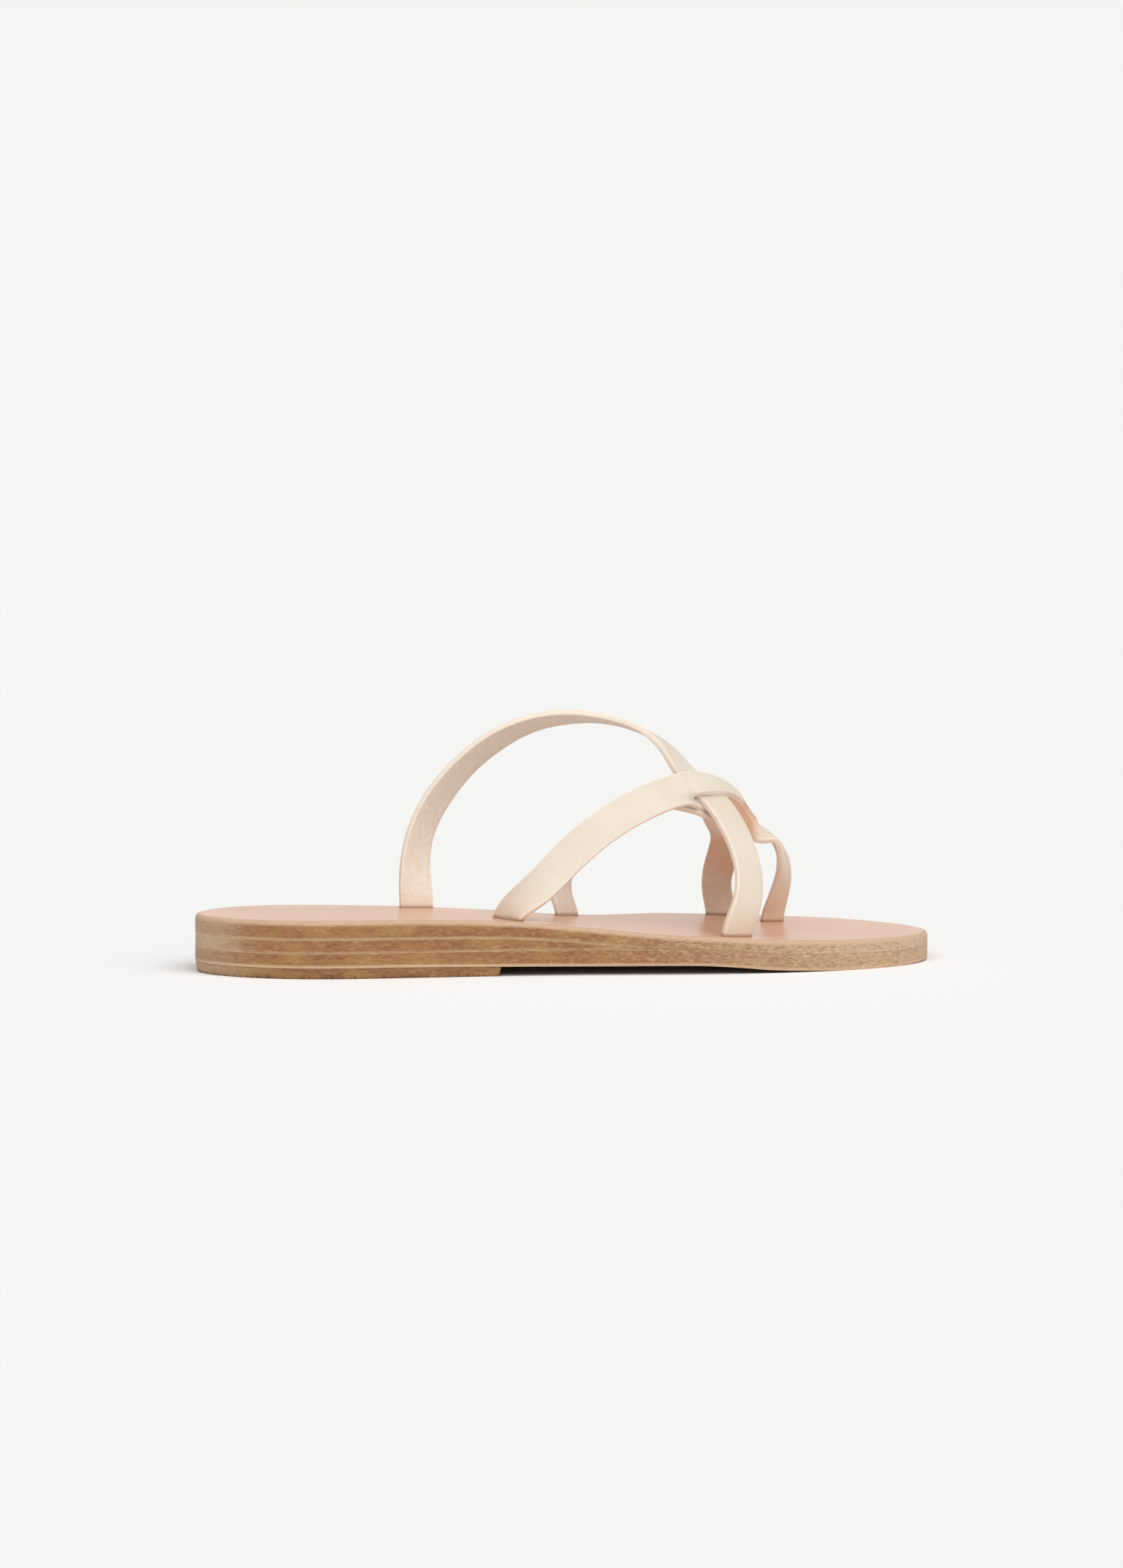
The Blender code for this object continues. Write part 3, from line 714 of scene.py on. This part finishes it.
def lipSection(side, halfWidth, halfThick, cut):
    # One lip as (across, outward, material), from the slit over the grain face and round the edge to the
    # slit again on the flesh side.
    bend = min(strapShape["edgeRound"], 0.9 * halfThick)
    face = halfWidth - bend
    points = []
    shares = (0.0, 0.25, 0.5, 0.75, 1.0)
    for share in shares:
        across = cut + (side * face - cut) * share
        crown = strapShape["crown"] * (1.0 - (across / halfWidth) ** 2)
        points.append((across, halfThick + crown, grainSide))
    for turn in (30, 60, 90):
        angle = math.radians(turn)
        across = side * (face + bend * math.sin(angle))
        points.append((across, halfThick - bend * (1.0 - math.cos(angle)), cutEdge))
    for turn in (0, 30, 60, 90):
        angle = math.radians(turn)
        across = side * (face + bend * math.cos(angle))
        points.append((across, -halfThick + bend * (1.0 - math.sin(angle)), cutEdge))
    for share in shares[1:]:
        points.append((side * face + (cut - side * face) * share, -halfThick, fleshSide))
    return points


def strapRing(station, strap, slit, grow, vertices, marks):
    # A cross-section of two lips, which share their inner corners where the strap isn't slit.
    here, out, across, width, warm_tint_and_shade = station
    x = here[0]
    rise = strapShape["lipRise"] * plateau(x, strapShape["upperLip"]) if slit else 0.0
    drop = strapShape["lipDrop"] * plateau(x, strapShape["lowerLip"]) if slit else 0.0
    cut = float(np.interp(x, *zip(*strapShape["slit"]))) if slit else 0.0
    isOpen = slit and strapShape["slit"][0][0] < x < strapShape["slit"][-1][0]
    trough = sum(deep * math.exp(-((x - at) / reach) ** 2) for at, deep, reach in strap["creases"])
    whole = 1.0 - float(easeBetween(x, *strapShape["lowerLipTurn"]))
    lips = []
    for side in (1.0, -1.0):
        section = lipSection(side, width / 2.0 + grow, strapShape["thickness"] / 2.0 + grow, cut)
        patch, tint = strapShape["upperShadePatch" if side > 0 else "lowerShadePatch"]
        lip = []
        for k, (sideways, outward, kind) in enumerate(section):
            shared = k in (0, len(section) - 1) and not isOpen
            if shared and side < 0:
                lip.append(lips[0][k])
                continue
            fromSlit = (cut - sideways) / (cut + width / 2.0)
            lowered = drop * (whole + (1.0 - whole) * fromSlit)
            shift = (rise - lowered) / 2.0 if shared else rise if side > 0 else -lowered
            sunk = trough if kind == grainSide else 0.0
            point = here + across * sideways + out * (outward + shift - sunk)
            lip.append(len(vertices))
            vertices.append(point)
            # Painted shade of the recess under the upper lip, on grain and cut edge where the slit ends.
            patchShade = tint * plateau(x, patch) if slit and kind != fleshSide else 0.0
            # Painted dark shade where the strap enters its slot, strongest at the insole's face and fading up
            # the strap.
            height = (point[2] - insoleTop(point[0])) / strapShape["slotShadeHeight"]
            atSlot = strapShape["slotShadeShare"] * (1.0 - easeStep(height))
            # Painted warm shade along the strap, or painted shade in the slit's recess, whichever is
            # stronger.
            marks["warm_tint_and_shade"].append(max(warm_tint_and_shade, patchShade))
            marks["painted_shade"].append(max(strapShape["patchDeepShade"] * patchShade if side < 0 else 0.0, atSlot))
        lips.append(lip)
    return lips, isOpen


def addStrap(name, strap, materials, slit=False, grow=0.0, extend=0.0):
    vertices, faces, kinds = [], [], []
    marks = {"warm_tint_and_shade": [], "painted_shade": []}
    stations = strapStations(strap["rows"], extend)
    # Share of painted warm shade at each station, from the strap's table.
    shadeShares = np.interp(np.linspace(0.0, 1.0, len(stations[0])), *np.array(strap["warm_tint_and_shade"]).T)
    rings = [strapRing(station, strap, slit, grow, vertices, marks) for station in zip(*stations, shadeShares)]
    firstWidth = stations[3][0]
    kindOf = [kind for _, _, kind in lipSection(1.0, firstWidth / 2.0, strapShape["thickness"] / 2.0, 0.0)]
    size = len(kindOf)
    for (lips, openHere), (ahead, openAhead) in zip(rings[:-1], rings[1:]):
        for lip in (0, 1):
            for a in range(size if openHere or openAhead else size - 1):
                b = (a + 1) % size
                faces.append((lips[lip][a], lips[lip][b], ahead[lip][b], ahead[lip][a]))
                kinds.append(cutEdge if b == 0 else kindOf[b])
    for lips, _ in (rings[0], rings[-1]):
        faces.append(tuple(lips[0] + lips[1][-2:0:-1]))
        kinds.append(cutEdge)
    return addPiece(name, vertices, faces, materials, kinds, strapShape["smoothAngle"], marks)


def cutSlot(target, cutter):
    step = target.modifiers.new("slot", "BOOLEAN")
    step.operation, step.solver, step.object = "DIFFERENCE", "EXACT", cutter
    shaped = bpy.data.meshes.new_from_object(target.evaluated_get(bpy.context.evaluated_depsgraph_get()))
    target.modifiers.clear()
    shaped.set_sharp_from_angle(angle=math.radians(soleShape["smoothAngle"]))
    target.data = shaped
    bpy.data.objects.remove(cutter, do_unlink=True)


straps = []
for name, strap, slit in (("instep_strap", instepStrap, False), ("toe_strap", toeStrap, True),
                          ("arch_strap", archStrap, False)):
    slot = addStrap("slot", strap, [stackMaterial] * 3, slit, strapShape["slotGap"], strapShape["slotDeep"])
    cutSlot(insole, slot)
    straps.append(addStrap(name + "_leather", strap, strapMaterials, slit))
print("straps built")

dressed = [(lift, "heel_lift", "heel_lift"), (outsole, "outsole", "sole_stack"),
           (wedge, "heel_wedge", "sole_stack"), (insole, "insole", "insole")]
dressed += [(strap, "upper", "straps") for strap in straps]
for piece, node, slotName in dressed:
    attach(piece, "root")
    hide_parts(node)


# Stage: pale floor, soft light and the camera at the photo's angle

stageLook = {
    "floor": "#FBFBFA", "background": "#F5F5F3", "ambient": 0.3, "floorReach": 14.0,
    "suns": (  # name, direction to the light (turn from +X, height above level, degrees), strength, softness
        ("sideLight", -58.0, 45.0, 1.13, 60.0),
        ("topLight", -112.0, 66.0, 1.35, 80.0),
        ("frontFill", -105.0, 16.0, 0.33, 60.0),
    ),
}
floorMesh = bpy.data.meshes.new("floor")
reach = stageLook["floorReach"]
corners = [(-reach, -reach, 0), (reach, -reach, 0), (reach, reach, 0), (-reach, reach, 0)]
floorMesh.from_pydata(corners, [], [(0, 1, 2, 3)])
paper, _, paperShader = startMaterial("white_paper_matt", 1.0, 0.0)
paperShader.inputs["Base Color"].default_value = linear(stageLook["floor"])
floorMesh.materials.append(paper)
floor = bpy.data.objects.new("floor", floorMesh)
bpy.context.scene.collection.objects.link(floor)

world = bpy.data.worlds.new("studio")
bpy.context.scene.world = world
world.use_nodes = True
sky = world.node_tree
rays = addNode(sky, "ShaderNodeLightPath")
seen = addNode(sky, "ShaderNodeMath", {"operation": "MAXIMUM"},
               links={0: rays.outputs["Is Camera Ray"], 1: rays.outputs["Is Glossy Ray"]})
level = addNode(sky, "ShaderNodeMapRange", values={"To Min": stageLook["ambient"], "To Max": 1.0},
                links={"Value": seen.outputs["Value"]})
sky.nodes["Background"].inputs["Color"].default_value = linear(stageLook["background"])
sky.links.new(level.outputs["Result"], sky.nodes["Background"].inputs["Strength"])
bpy.context.scene.view_settings.view_transform = "Standard"

for name, turn, height, strength, softness in stageLook["suns"]:
    lamp = bpy.data.lights.new(name, "SUN")
    lamp.energy, lamp.angle = strength, math.radians(softness)
    sun = bpy.data.objects.new(name, lamp)
    sun.rotation_euler = (-Vector(facing(turn, height))).to_track_quat("-Z", "Y").to_euler()
    bpy.context.scene.collection.objects.link(sun)

view = {
    "yaw": 13.4, "pitch": 4.76, "roll": 0.18, "distance": 2.0, "target": (-0.0009, 0.0, 0.0599),
    "focalPixels": 8036.0, "imageHeight": 2095.0, "sensor": 36.0,
}
yaw, pitch = math.radians(view["yaw"]), math.radians(view["pitch"])
ahead = Vector((math.sin(yaw) * math.cos(pitch), math.cos(yaw) * math.cos(pitch), -math.sin(pitch)))
cameraData = bpy.data.cameras.new("camera")
cameraData.sensor_width = view["sensor"]
cameraData.lens = view["sensor"] * view["focalPixels"] / view["imageHeight"]
camera = bpy.data.objects.new("camera", cameraData)
bpy.context.scene.collection.objects.link(camera)
camera.location = Vector(view["target"]) - ahead * view["distance"]
aim = ahead.to_track_quat("-Z", "Y").to_matrix() @ Matrix.Rotation(math.radians(view["roll"]), 3, "Z")
camera.rotation_euler = aim.to_euler()
bpy.context.scene.camera = camera
print("stage and camera ready")
